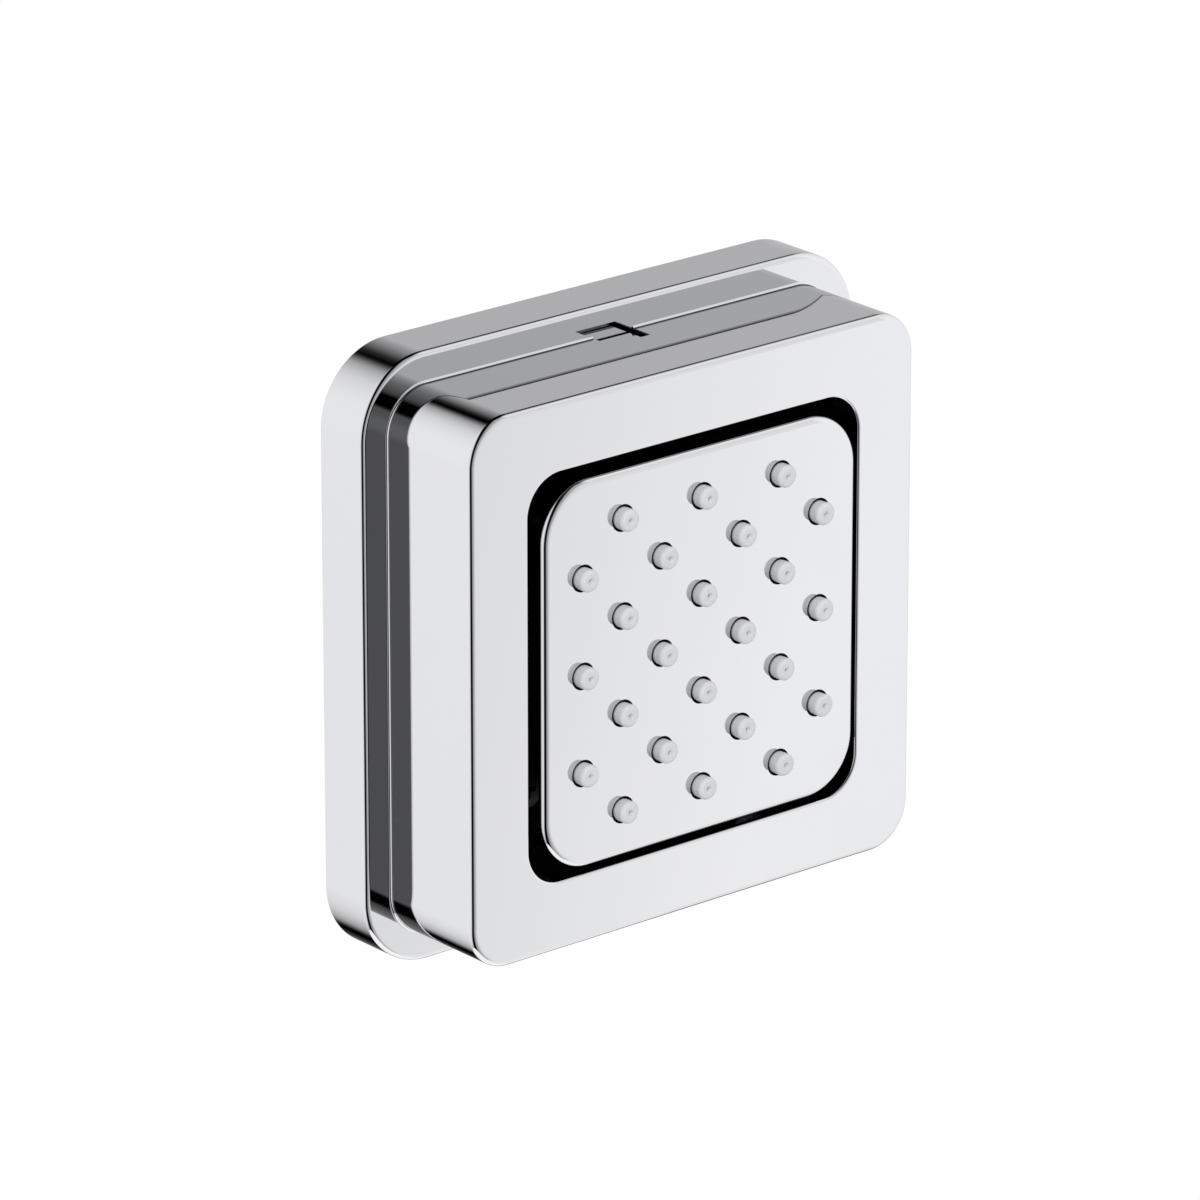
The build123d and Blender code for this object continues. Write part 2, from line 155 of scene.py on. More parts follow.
# %% Studio panels, as brightness against the sideways part of a direction
# -1 is straight to the left of the line of sight and 1 is straight to the right.
FRONT_PANELS = [
    (-1.0, 0.93), (-0.81, 0.92), (-0.72, 0.89), (-0.60, 0.87), (-0.526, 0.85), (-0.44, 0.79),
    (-0.352, 0.46), (-0.26, 0.08), (-0.22, 0.00), (0.14, 0.00), (0.227, 0.05), (0.32, 0.26),
    (0.41, 0.40), (0.50, 0.41), (0.604, 0.43), (0.70, 0.57), (0.78, 0.70), (0.845, 0.77),
    (0.926, 0.79), (0.96, 0.84), (1.0, 0.85),
]
LEFT_BEHIND = [
    (-1.0, 0.94), (-0.963, 0.925), (-0.92, 0.87), (-0.884, 0.825), (-0.824, 0.74), (-0.763, 0.61),
    (-0.685, 0.425), (-0.60, 0.115), (-0.56, 0.02), (-0.52, 0.00), (1.0, 0.00),
]
RIGHT_BEHIND = [
    (-1.0, 0.00), (0.10, 0.00), (0.16, 0.20), (0.252, 0.50), (0.30, 0.75), (0.362, 0.90),
    (0.468, 0.89), (0.60, 0.88), (0.70, 0.92), (0.80, 0.97), (0.858, 0.985), (1.0, 0.99),
]
# The hanging panel is written over height, from -1 straight down to 1 straight up.
HANGING = [
    (-1.0, 0.00), (-0.66, 0.00), (-0.58, 0.06), (-0.51, 0.16), (-0.42, 0.30), (-0.30, 0.50),
    (-0.17, 0.57), (0.07, 0.52), (0.32, 0.485), (0.37, 0.45), (0.42, 0.38), (0.51, 0.265),
    (0.58, 0.136), (0.63, 0.026), (0.66, 0.00), (1.0, 0.00),
]
# A reflection of a reflection looks out from between the pieces, where the studio is darker.
SECOND_LOOK = [
    (-1.0, 0.85), (-0.45, 0.70), (-0.30, 0.30), (-0.15, 0.17), (-0.05, 0.155), (0.0, 0.106),
    (0.05, 0.095), (0.075, 0.02), (0.10, 0.00), (0.30, 0.00), (0.36, 0.045), (0.40, 0.075),
    (0.49, 0.105), (0.583, 0.145), (0.666, 0.175), (0.745, 0.24), (0.818, 0.31), (0.88, 0.41),
    (0.933, 0.50), (1.0, 0.55),
]
every_ramp = (FRONT_PANELS, LEFT_BEHIND, RIGHT_BEHIND, HANGING, SECOND_LOOK)
print("studio of", len(every_ramp), "ramps with", sum(map(len, every_ramp)), "stops")

# %% [markdown]
# The panels lean and curve a little. So a ramp is read at the sideways part of a direction
# plus a share of its height, or of the height squared. Where a direction no longer points
# ahead to the front of the studio, the panels behind take over from those in front.

# %% Panels in the direction of a ray
FRONT_LEAN, LEFT_LEAN, RIGHT_LEAN = 0.12, -0.3, -0.2
AWAY_LEAN, AWAY_START, AWAY_END = 0.2, 0.122, 0.072


def ramp_over(tree, amount, stops):
    """A grey ramp read at an amount between -1 and 1, from stops given as (amount, brightness)."""
    added = node(tree, "ShaderNodeValToRGB", links={0: ranged(tree, amount, -1.0, 1.0)})
    ramp = added.color_ramp
    ramp.elements.remove(ramp.elements[-1])
    for number, (at, grey) in enumerate(stops):
        place = (at + 1) / 2
        stop = ramp.elements[0] if number == 0 else ramp.elements.new(place)
        stop.position = place
        stop.color = (grey, grey, grey, 1.0)
    return added.outputs[0]


def shifted(tree, amount, share, other):
    """The amount plus a share of another one."""
    links = {0: other, 2: amount}
    return node(tree, "ShaderNodeMath", {1: share}, links, operation="MULTIPLY_ADD").outputs[0]


def brighter(tree, one, other):
    """The brighter of two greys."""
    both = {6: one, 7: other}
    lighten = node(tree, "ShaderNodeMix", {0: 1.0}, both, data_type="RGBA", blend_type="LIGHTEN")
    return lighten.outputs[2]


def part_along(tree, ray, axis):
    """The part of a ray's direction along an axis: their dot product, from -1 to 1."""
    return node(tree, "ShaderNodeVectorMath", {1: axis}, {0: ray}, operation="DOT_PRODUCT").outputs["Value"]


def panels_seen(tree, ray, aside):
    """The grey of the panels in front or behind, by the parts of a ray aside, ahead and upwards."""
    ahead = part_along(tree, ray, Vector((-math.sin(TURN_LEFT), -math.cos(TURN_LEFT), 0.0)))
    height = node(tree, "ShaderNodeSeparateXYZ", links={0: ray}).outputs["Z"]
    level = node(tree, "ShaderNodeMath", links={0: height}, operation="ABSOLUTE").outputs[0]
    squared = reckon(tree, "MULTIPLY", height, height)
    in_front = ramp_over(tree, shifted(tree, aside, FRONT_LEAN, squared), FRONT_PANELS)
    on_left = ramp_over(tree, shifted(tree, aside, LEFT_LEAN, squared), LEFT_BEHIND)
    on_right = ramp_over(tree, shifted(tree, aside, RIGHT_LEAN, level), RIGHT_BEHIND)
    behind = brighter(tree, brighter(tree, on_left, on_right), ramp_over(tree, height, HANGING))
    turned_away = ranged(tree, shifted(tree, ahead, AWAY_LEAN, height), AWAY_START, AWAY_END)
    return mixed(tree, turned_away, in_front, behind)


print("panels behind take over where a ray points ahead by less than", AWAY_START)

# %% [markdown]
# The world shows the panels to the chrome only. Matt pieces get one even light from all
# round, and the camera sees plain white, as on a page.

# %% Studio
THIRD_LOOK, EVEN_LIGHT = 0.3, 0.62


def build_studio(tree):
    """World nodes: white for the camera, even light for matt pieces and the panels for mirrors."""
    ray = node(tree, "ShaderNodeTexCoord").outputs["Generated"]
    path = node(tree, "ShaderNodeLightPath").outputs
    aside = part_along(tree, ray, sideways)
    second = reckon(tree, "GREATER_THAN", path["Glossy Depth"], 1.5)
    third = reckon(tree, "GREATER_THAN", path["Glossy Depth"], 2.5)
    dimmed = mixed(tree, second, panels_seen(tree, ray, aside), ramp_over(tree, aside, SECOND_LOOK))
    darkest = node(
        tree, "ShaderNodeMix", {7: (THIRD_LOOK, THIRD_LOOK, THIRD_LOOK, 1.0)}, {0: third, 6: dimmed},
        data_type="RGBA", blend_type="MULTIPLY",
    )
    panels = node(tree, "ShaderNodeBackground", links={0: darkest.outputs[2]}).outputs[0]
    even = node(tree, "ShaderNodeBackground", {0: linear("#FFFFFF"), 1: EVEN_LIGHT}).outputs[0]
    white = node(tree, "ShaderNodeBackground", {0: linear("#FFFFFF"), 1: 1.0}).outputs[0]
    lit = node(tree, "ShaderNodeMixShader", links={0: path["Is Glossy Ray"], 1: even, 2: panels})
    straight = reckon(tree, "MAXIMUM", path["Is Camera Ray"], path["Is Transmission Ray"])
    seen = node(tree, "ShaderNodeMixShader", links={0: straight, 1: lit.outputs[0], 2: white})
    node(tree, "ShaderNodeOutputWorld", links={0: seen.outputs[0]})


world = bpy.data.worlds.new("studio")
bpy.context.scene.world = world
world.use_nodes = True
world.node_tree.nodes.clear()
build_studio(world.node_tree)
print("studio made of", len(world.node_tree.nodes), "nodes")

# %% [markdown]
# ## Floor and lamp
# The jet hangs on a wall, so the floor is far below it: a pale disc. It is lit like
# anything else, and a glow that only the camera and mirrors see lifts it to white, so a
# shadow on it still shows. One wide lamp from the front left gives the matt pieces form.

# %% Floor and lamp
FLOOR_RADIUS, FLOOR_LEVEL, FLOOR_GLOW = 0.34, -0.5, 0.5
LAMP_PLACE, LAMP_SIZE, LAMP_POWER = Vector((-0.9, -1.3, 1.3)), 1.4, 14.0


def floor_disc(radius, height, steps=96):
    """Points at the given radius and even angles, as one flat polygon facing up."""
    angle = np.linspace(0, 2 * np.pi, steps, endpoint=False)
    points = np.stack([radius * np.cos(angle), radius * np.sin(angle), np.full(steps, height)], 1)
    mesh = bpy.data.meshes.new("floor")
    mesh.from_pydata(points.tolist(), [], [list(range(steps))])
    return mesh


def floor_paint():
    """Pale matt paint, and a glow for rays that come straight from the camera or off a mirror."""
    made, tree, shader = new_material("pale_painted_floor")
    shader.inputs["Base Color"].default_value = linear("#D8D8D8")
    shader.inputs["Roughness"].default_value = 0.9
    path = node(tree, "ShaderNodeLightPath").outputs
    mirrors = reckon(tree, "MAXIMUM", path["Is Camera Ray"], path["Is Glossy Ray"])
    straight = reckon(tree, "MAXIMUM", mirrors, path["Is Transmission Ray"])
    glow = reckon(tree, "MULTIPLY", straight, FLOOR_GLOW)
    tree.links.new(glow, shader.inputs["Emission Strength"])
    shader.inputs["Emission Color"].default_value = linear("#FFFFFF")
    return made


floor = bpy.data.objects.new("floor", floor_disc(FLOOR_RADIUS, FLOOR_LEVEL))
bpy.context.scene.collection.objects.link(floor)
floor.data.materials.append(floor_paint())

lamp = bpy.data.objects.new("softbox", bpy.data.lights.new("softbox", "AREA"))
lamp.data.size = LAMP_SIZE
lamp.data.energy = LAMP_POWER
lamp.visible_glossy = False
lamp_turn = LAMP_PLACE.to_track_quat("Z", "Y").to_matrix().to_4x4()
lamp.matrix_world = Matrix.Translation(LAMP_PLACE) @ lamp_turn
bpy.context.scene.collection.objects.link(lamp)
print("floor", round(-FLOOR_LEVEL / MM), "mm below the jet, lamp", round(LAMP_PLACE.length, 2), "m away")

# %% [markdown]
# ## Finishes
# Each finish starts from what the real piece is made of. Mirror chrome is a metal with
# almost no roughness. Its plating follows the moulding below, so a trace of haze in wide
# patches keeps it from looking like a drawing.

# %% Chrome
def cloud(tree, where, size_mm, detail, roughness=0.5):
    """Soft noise from 0 to 1, in patches of about the given size."""
    values = {"Scale": 1 / (size_mm * MM), "Detail": detail, "Roughness": roughness}
    return node(tree, "ShaderNodeTexNoise", values, {"Vector": where}).outputs[0]


def chrome_on_abs():
    """Electroplated chrome: a clean mirror, a little blue, with faint haze in patches 20 mm wide."""
    made, tree, shader = new_material("bright_chrome_plating")
    shader.inputs["Metallic"].default_value = 1.0
    where = node(tree, "ShaderNodeTexCoord").outputs["Object"]
    haze = cloud(tree, where, 20, 3.0)
    tree.links.new(ranged(tree, haze, 0.3, 0.7, 0.012, 0.03), shader.inputs["Roughness"])
    tree.links.new(tinted(tree, "#EDEDF0", "#EAEBEE", haze), shader.inputs["Base Color"])
    return made


chrome = chrome_on_abs()
print("made", chrome.name)

# %% [markdown]
# The plastics differ in grain: nylon is moulded with a fine spark texture, acetal is
# smooth and a little waxy, rubber is dull, and foam shows its cells.

# %% Plastics, rubber and foam
def moulded(name, dark, light, grain_mm, rough, bump):
    """Matt plastic: two close shades in patches 9 mm wide, and grain that changes the roughness
    and stands up as a bump of the given height in mm."""
    made, tree, shader = new_material(name)
    where = node(tree, "ShaderNodeTexCoord").outputs["Object"]
    grain = cloud(tree, where, grain_mm, 4.0, 0.6)
    patches = cloud(tree, where, 9, 2.0)
    worn = ranged(tree, grain, 0.3, 0.7, rough - 0.06, rough + 0.06)
    relief = node(tree, "ShaderNodeBump", {"Strength": 0.6, "Distance": bump * MM}, {"Height": grain})
    tree.links.new(tinted(tree, dark, light, patches), shader.inputs["Base Color"])
    tree.links.new(worn, shader.inputs["Roughness"])
    tree.links.new(relief.outputs[0], shader.inputs["Normal"])
    return made


nylon = moulded("spark_textured_nylon", "#2C2C2E", "#353538", 0.5, 0.5, 0.03)
acetal = moulded("natural_acetal", "#EBEAE4", "#F2F1EC", 1.5, 0.34, 0.01)
rubber = moulded("moulded_rubber", "#232323", "#2B2B2C", 0.7, 0.66, 0.03)
foam = moulded("closed_cell_foam", "#85858A", "#96969B", 0.9, 0.9, 0.25)
print("made", nylon.name, acetal.name, rubber.name, foam.name)

# %% [markdown]
# Brass and stainless steel here are turned on a lathe, so the tool leaves rings round the
# jet's axis. A wave texture whose bands are rings about Y gives those marks.

# %% Turned metals
def turned(name, dark, light, ring_mm, rough):
    """Lathe-turned metal: rings about the Y axis at the given feed, and a soft cloud of tarnish."""
    made, tree, shader = new_material(name)
    shader.inputs["Metallic"].default_value = 1.0
    where = node(tree, "ShaderNodeTexCoord").outputs["Object"]
    rings = node(
        tree, "ShaderNodeTexWave", {"Scale": 2 * math.pi / (20 * ring_mm * MM), "Distortion": 0.4},
        {"Vector": where}, wave_type="RINGS", rings_direction="Y",
    ).outputs[1]
    tarnish = cloud(tree, where, 5, 4.0)
    polish = ranged(tree, rings, 0.0, 1.0, rough - 0.05, rough + 0.07)
    relief = node(tree, "ShaderNodeBump", {"Strength": 0.25, "Distance": 0.01 * MM}, {"Height": rings})
    tree.links.new(tinted(tree, dark, light, tarnish), shader.inputs["Base Color"])
    tree.links.new(polish, shader.inputs["Roughness"])
    tree.links.new(relief.outputs[0], shader.inputs["Normal"])
    return made


brass = turned("turned_brass", "#C9A258", "#DDB96E", 0.25, 0.24)
steel = turned("turned_stainless_steel", "#B9BABC", "#CBCCCE", 0.2, 0.28)
print("made", brass.name, steel.name)

# %% [markdown]
# Silicone lets light in a little way, which softens its shadows. Subsurface scattering
# with a reach of about half a millimetre does this, and a faint cloud stands for the milky
# filler. Behind the face's front each nozzle turns dark grey: painted shade in its hole.

# %% Silicone
# Depths in mm over which the painted shade at the nozzles' feet fades to the milky colour.
PAINTED_SHADE_BELOW, MILKY_ABOVE = 31.2, 31.6


def milky_silicone():
    """Translucent pale rubber: scattering over 0.6 mm, soft gloss, a cloud 3 mm wide, painted shade at the
    foot.
    """
    made, tree, shader = new_material("milky_silicone")
    where = node(tree, "ShaderNodeTexCoord").outputs["Object"]
    tint = tinted(tree, "#E3E5E6", "#ECEEEF", cloud(tree, where, 3, 2.0))
    # Painted shade: down in the holes the colour turns dark grey #3A3C3F, for the shadow round each foot.
    along = node(tree, "ShaderNodeSeparateXYZ", links={0: where}).outputs["Y"]
    above = ranged(tree, along, -PAINTED_SHADE_BELOW * MM, -MILKY_ABOVE * MM)
    shade_painted_foot = node(
        tree, "ShaderNodeMix", {6: linear("#3A3C3F")}, {0: above, 7: tint}, data_type="RGBA"
    )
    tree.links.new(shade_painted_foot.outputs[2], shader.inputs["Base Color"])
    shader.inputs["Roughness"].default_value = 0.5
    shader.inputs["IOR"].default_value = 1.41
    shader.inputs["Specular IOR Level"].default_value = 0.3
    shader.inputs["Subsurface Weight"].default_value = 0.4
    shader.inputs["Subsurface Radius"].default_value = (1.0, 1.0, 1.0)
    shader.inputs["Subsurface Scale"].default_value = 0.6 * MM
    return made


silicone = milky_silicone()
finishes = {"chromed_abs": chrome, "silicone": silicone}
print("made", silicone.name)

# %% [markdown]
# ## Dressing the solids
# Every solid keeps its shape and gets the finish of what it is made of. The chromed covers
# and the mat are dressed too, although new surfaces stand for them in the picture.

# %% Finishes on the solids
SOLID_FINISH = {
    "rim_seal": foam, "wall_bracket": nylon, "ball_union": brass, "union_gasket": rubber,
    "clamp_washer": steel, "inlet_strainer": steel, "inlet_washer": rubber, "flow_limiter": acetal,
    "inner_frame": nylon, "frame_screws": steel, "spray_chamber": acetal, "chamber_seal": rubber,
    "face_screws": steel, "ball_seal": rubber, "seat_ring": acetal, "socket_nut": acetal,
    "wall_plate": chrome, "head_shell": chrome, "spray_face": chrome, "nozzle_mat": silicone,
}
for name, finish in SOLID_FINISH.items():
    nodes[name].data.materials.clear()
    nodes[name].data.materials.append(finish)
print("dressed", len(SOLID_FINISH), "solids")

# %% [markdown]
# ## Surfaces with exact normals
# A mirror shows every fault in its normals, and the facets of a solid would break the
# reflections at each rounded edge. So the chromed covers are drawn again as smooth
# surfaces. A rounded square is the sum of a square and a circle: the point is
# c S + r D, where S runs round a unit square, D round a unit circle, c is the
# half-width between the corner centres and r the corner radius. A section through the
# wall then gives c, r and the depth for each ring, and its direction gives the normals.

# %% Rounded squares and sections
def rounded_square(turn_steps, stops):
    """S and D, round a unit square and a unit circle: D turns a quarter at each corner while S
    waits there, and S then goes along the side, with a point at each of the stops."""
    turn = np.linspace(0, np.pi / 2, turn_steps + 1)
    stops = np.asarray(stops, float)
    square = np.concatenate([np.ones((len(turn), 2)), np.stack([stops, np.ones(len(stops))], 1)])
    arc = np.stack([np.cos(turn), np.sin(turn)], 1)
    circle = np.concatenate([arc, np.tile([0.0, 1.0], (len(stops), 1))])
    quarter = [np.linalg.matrix_power(np.array([[0.0, -1.0], [1.0, 0.0]]), k) for k in range(4)]
    return tuple(np.concatenate([side @ q.T for q in quarter]) for side in (square, circle))


def section(corners, steps=10):
    """A closed outline in reach and depth, walked with the solid on its left. Each corner is given as
    (c, reach, depth, rounding). Returns rings (c, reach, depth) and the outline's normals
    at both ends of each span: on a rounding they turn with the arc, on a flat they are the same."""
    corners = np.array(corners, float)
    place, rounding = corners[:, 1:3], corners[:, 3]
    ahead = np.roll(place, -1, 0) - place
    ahead /= np.linalg.norm(ahead, axis=1)[:, None]
    before = np.roll(ahead, 1, 0)
    bend = np.arctan2(before[:, 0] * ahead[:, 1] - before[:, 1] * ahead[:, 0], (before * ahead).sum(1))
    cut = rounding * np.tan(np.abs(bend) / 2)
    share = np.linspace(0, 1, steps + 1)
    rings, normals = [], []
    for k in range(len(corners)):
        angle = np.arctan2(before[k, 1], before[k, 0]) + bend[k] * (share if rounding[k] else share[:1])
        side = np.sign(bend[k]) or 1.0
        start = place[k] - cut[k] * before[k]
        centre = start + rounding[k] * side * np.array([-before[k, 1], before[k, 0]])
        out = np.stack([np.sin(angle), -np.cos(angle)], 1)
        points = centre + rounding[k] * side * out if rounding[k] else place[k][None]
        rings.append(np.column_stack([np.full(len(points), corners[k, 0]), points]))
        normals.append(out if rounding[k] else np.array([[np.nan, np.nan]]))
    rings, normals = np.concatenate(rings), np.concatenate(normals)
    span = np.roll(rings[:, 1:], -1, 0) - rings[:, 1:]
    flat = np.stack([span[:, 1], -span[:, 0]], 1) / np.maximum(np.linalg.norm(span, axis=1), 1e-12)[:, None]
    following = np.roll(normals, -1, 0)
    first = np.where(np.isnan(normals), flat, normals)
    last = np.where(np.isnan(following), flat, following)
    return rings, first, last


print("a rounded square with 24 steps to a corner has", len(rounded_square(24, [])[0]), "points")

# %% [markdown]
# A skin gathers points and faces, with a normal for each corner of each face, and makes
# one mesh of them. Flat parts with holes are filled by a constrained triangulation, which
# uses only the points of their outlines, so they stay joined to the walls round them. A
# small wall across a gap has points of its own, so that its edges stay sharp.

# %% A skin: points, faces and the normals at their corners
class Skin:
    """Points and faces of one closed piece, with a normal for each corner of each face."""

    def __init__(self):
        self.points = []
        self.faces = []
        self.normals = []
        self.count = 0

    def add(self, points):
        """Take in an array of points, and give their numbers in the same shape."""
        numbers = self.count + np.arange(points[..., 0].size).reshape(points.shape[:-1])
        self.points.append(points.reshape(-1, 3))
        self.count += numbers.size
        return numbers

    def strip(self, lower, upper, lower_normals, upper_normals, skip=None):
        """Quads between closed rings of the same length, with normals at the rings' points. Those
        marked to skip are left out."""
        quads = np.stack([lower, np.roll(lower, -1, -1), np.roll(upper, -1, -1), upper], -1)
        corners = np.stack(
            [lower_normals, np.roll(lower_normals, -1, -2), np.roll(upper_normals, -1, -2), upper_normals],
            -2,
        )
        keep = np.ones(lower.shape, bool) if skip is None else ~skip
        self.faces.append(quads[keep])
        self.normals.append(corners[keep])

    def wall(self, outline, normal):
        """One flat face with this outline and points of its own, turned to the side of the normal."""
        corners = np.concatenate(self.points)[outline]
        a, b, c = corners[:3]
        own = self.add(corners)
        turned = own if np.cross(b - a, c - b) @ normal > 0 else own[::-1]
        self.faces.append(np.array([turned]))
        self.normals.append(np.tile(normal, (1, len(outline), 1)))

    def flat(self, loops, normal):
        """Triangles over the flat ground inside the first closed loop and outside the others. The
        others are round, so a triangle with all its corners on one of them lies in that hole."""
        everything = np.concatenate(self.points)
        numbers = np.concatenate(loops)
        ground = [Vector(p) for p in everything[numbers][:, [0, 2]] / MM]
        ends = np.cumsum([0] + [len(loop) for loop in loops])
        spans = [np.arange(a, b) for a, b in zip(ends[:-1], ends[1:])]
        edges = np.concatenate([np.stack([span, np.roll(span, -1)], 1) for span in spans])
        _, _, triangles, source, _, _ = delaunay_2d_cdt(ground, edges.tolist(), [], 4, 1e-6)
        first = np.array([ids[0] for ids in source])
        corners = first[np.array(triangles)]
        loop = np.repeat(np.arange(len(loops)), np.diff(ends))[corners]
        in_hole = (loop[:, 0] > 0) & (loop.min(1) == loop.max(1))
        made = numbers[corners[~in_hole]]
        a, b, c = (everything[made[:, k]] for k in range(3))
        wrong = (np.cross(b - a, c - a) @ normal) < 0
        made[wrong] = made[wrong][:, ::-1]
        self.faces.append(made)
        self.normals.append(np.tile(normal, (len(made), 3, 1)))

    def piece(self, name, body, slot, replaces=()):
        """One mesh object from everything gathered, riding on a body and dressed in its slot's finish."""
        mesh = bpy.data.meshes.new(name)
        points = np.concatenate(self.points)
        faces = [face for block in self.faces for face in block.tolist()]
        mesh.from_pydata(points.tolist(), [], faces)
        mesh.polygons.foreach_set("use_smooth", np.ones(len(mesh.polygons), bool))
        mesh.normals_split_custom_set(np.concatenate([block.reshape(-1, 3) for block in self.normals]))
        made = bpy.data.objects.new(name, mesh)
        bpy.context.scene.collection.objects.link(made)
        mesh.materials.append(finishes[slot])
        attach(made, body)
        if replaces:
            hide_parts(*replaces)
        print(name, "has", len(mesh.polygons), "faces and", len(points), "points")
        return made


def sweep(skin, path, rings, first, last, skip=None, centre=(0.0, 0.0)):
    """Carry a section round a rounded square: ring k is c S + r D at its depth, with normals
    (out D, -along). skip marks the faces to leave out, by span and by step round the square."""
    square, circle = path
    c, reach, depth = (rings[:, k][:, None, None] * MM for k in range(3))
    ground = c * square + (reach - c) * circle + np.array(centre) * MM
    level = np.broadcast_to(-depth, ground[..., :1].shape)
    points = np.concatenate([ground[..., :1], level, ground[..., 1:]], -1)
    numbers = skin.add(points)
    skip = np.zeros(numbers.shape, bool) if skip is None else np.broadcast_to(skip, numbers.shape)

    def spread(normal):
        """Normals (out, along) of the section, at every step round the square."""
        out, along = normal[:, 0][:, None, None], normal[:, 1][:, None, None]
        flat = np.broadcast_to(-along, (len(normal), len(circle), 1))
        return np.concatenate([out * circle[None, :, :1], flat, out * circle[None, :, 1:]], -1)

    skin.strip(numbers, np.roll(numbers, -1, 0), spread(first), spread(last), skip)
    return numbers


def without_middle(rings, first, last):
    """Leave out the rings of no reach, which stand for a flat that is filled in another way, and
    mark the span across it."""
    keep = rings[:, 1] > 0
    across = keep & ~np.roll(keep, -1)
    return rings[keep], first[keep], last[keep], across[keep][:, None]


def beside_middle(numbers, across):
    """The two rings of points on either side of the span that was marked."""
    edge = int(np.flatnonzero(across)[0])
    return numbers[edge], numbers[(edge + 1) % len(numbers)]


print("ready to sweep sections and fill flats")

# %% [markdown]
# ## Round holes
# The plate and the face are drilled. A hole is one outline turned about its axis: a small
# rounding at each rim, which catches the light as a drawn edge does, and the wall between.

# %% Holes
RIM_FRONT, RIM_BACK = 0.06, 0.1


def round_about(places, outline, around=40):
    """Turn an outline of (reach, depth) about each place. Gives points by place, ring and step, in
    metres, and the unit circle."""
    angle = np.linspace(0, 2 * np.pi, around, endpoint=False)
    circle = np.stack([np.cos(angle), np.sin(angle)], 1)
    ground = places[:, None, None, :] + outline[None, :, None, :1] * circle[None, None]
    depth = np.broadcast_to(-outline[None, :, None, 1:], (*ground.shape[:-1], 1))
    return np.concatenate([ground[..., :1], depth, ground[..., 1:]], -1) * MM, circle


def round_normals(normals, circle, count):
    """Normals (out, along) of an outline, turned about the axis for each of count places."""
    out, along = normals[None, :, None, :1], normals[None, :, None, 1:]
    turned = np.concatenate([
        out * circle[None, None, :, :1], np.broadcast_to(-along, (1, len(normals), len(circle), 1)),
        out * circle[None, None, :, 1:],
    ], -1)
    return np.broadcast_to(turned, (count, *turned.shape[1:]))


def turn_about(skin, places, corners, around=40, steps=4):
    """Turn an outline about each place. Its first and last corners only give the direction of the
    ground there, and are left out. Returns the numbers of its points by place, ring and step."""
    outline, first, last = (part[1:-1] for part in section(corners, steps))
    points, circle = round_about(places, outline[:, 1:], around)
    numbers = skin.add(points)
    count = len(places)
    start, end = (round_normals(part[:-1], circle, count) for part in (first, last))
    skin.strip(numbers[:, :-1], numbers[:, 1:], start, end)
    return numbers


def drill(skin, places, radius, front, back, around=40):
    """Walls of round holes from the front depth to the back depth, with a rounding at each rim."""
    far = 2 * radius
    return turn_about(skin, np.asarray(places, float), [
        (0.0, far, front, 0.0), (0.0, radius, front, RIM_FRONT),
        (0.0, radius, back, RIM_BACK), (0.0, far, back, 0.0),
    ], around)


def four_corners(place):
    """Four places on the diagonals, at the same distance along X and Z."""
    return np.array([(x, z) for x in (-place, place) for z in (-place, place)])


FRONT = np.array([0.0, -1.0, 0.0])
REAR = np.array([0.0, 1.0, 0.0])
print("rims are rounded by", RIM_FRONT, "mm in front and", RIM_BACK, "mm behind")

# %% [markdown]
# ## Wall plate
# The wall plate is a shallow chromed cover. Its section is walked once round the wall,
# from the rear edge over the front and back through the hollow, with a groove for the foam
# seal. Round the foot of the head the plate rises in a small cove, which shows as a thin
# bright line. The front and the floor of the hollow are filled round the holes.

# %% Wall plate
# Lengths are in mm. CENTRE is c, which the plate and the head share, and a REACH is c + r.
TURN_STEPS = 24
CENTRE = 37.5
NOTCH_HALF = 4.05
NOTCH_STOP = NOTCH_HALF / CENTRE
PLATE_REACH, PLATE_FRONT = 50.0, 10.0
HOLLOW_REACH, PLATE_INNER = 47.0, 7.5
SEAL_IN, SEAL_OUT, SEAL_DEPTH = 47.8, 49.2, 1.6
COVE, COVE_REACH, COVE_LIP = 0.42, 45.02, 0.05
INLET_HOLE, SCREW_HOLE, SCREW_PLACE = 19.0, 1.7, 24.5

plate_stops = [0.9, 0.6, 0.3, NOTCH_STOP, -NOTCH_STOP, -0.3, -0.6, -0.9]
plate_path = rounded_square(TURN_STEPS, plate_stops)
plate_section = section([
    (CENTRE, PLATE_REACH, 0.0, 0.15), (CENTRE, PLATE_REACH, PLATE_FRONT, 0.9),
    (CENTRE, COVE_REACH, PLATE_FRONT, COVE),
    (CENTRE, COVE_REACH, PLATE_FRONT + COVE + COVE_LIP, 0.0), (CENTRE, COVE_REACH, PLATE_FRONT, 0.0),
    (0.0, 0.0, PLATE_FRONT, 0.0), (0.0, 0.0, PLATE_INNER, 0.0),
    (CENTRE, HOLLOW_REACH, PLATE_INNER, 0.4), (CENTRE, HOLLOW_REACH, 0.0, 0.15),
    (CENTRE, SEAL_IN, 0.0, 0.0), (CENTRE, SEAL_IN, SEAL_DEPTH, 0.0),
    (CENTRE, SEAL_OUT, SEAL_DEPTH, 0.0), (CENTRE, SEAL_OUT, 0.0, 0.0),
], steps=12)
plate_rings, first, last, across = without_middle(*plate_section)
on_cove = np.isclose(plate_rings[:, 2], PLATE_FRONT) & (plate_rings[:, 1] < COVE_REACH + 2 * COVE)
cove_start, cove_end = np.flatnonzero(on_cove)[[0, -1]]
notch_column = TURN_STEPS + 1 + plate_stops.index(NOTCH_STOP)
skip = np.repeat(across, len(plate_path[0]), 1)
skip[cove_start:cove_end, notch_column] = True
plate = Skin()
numbers = sweep(plate, plate_path, plate_rings, first, last, skip)
for column, side in ((notch_column, -1.0), (notch_column + 1, 1.0)):
    plate.wall(numbers[cove_start:cove_end + 1, column], np.array([side, 0.0, 0.0]))
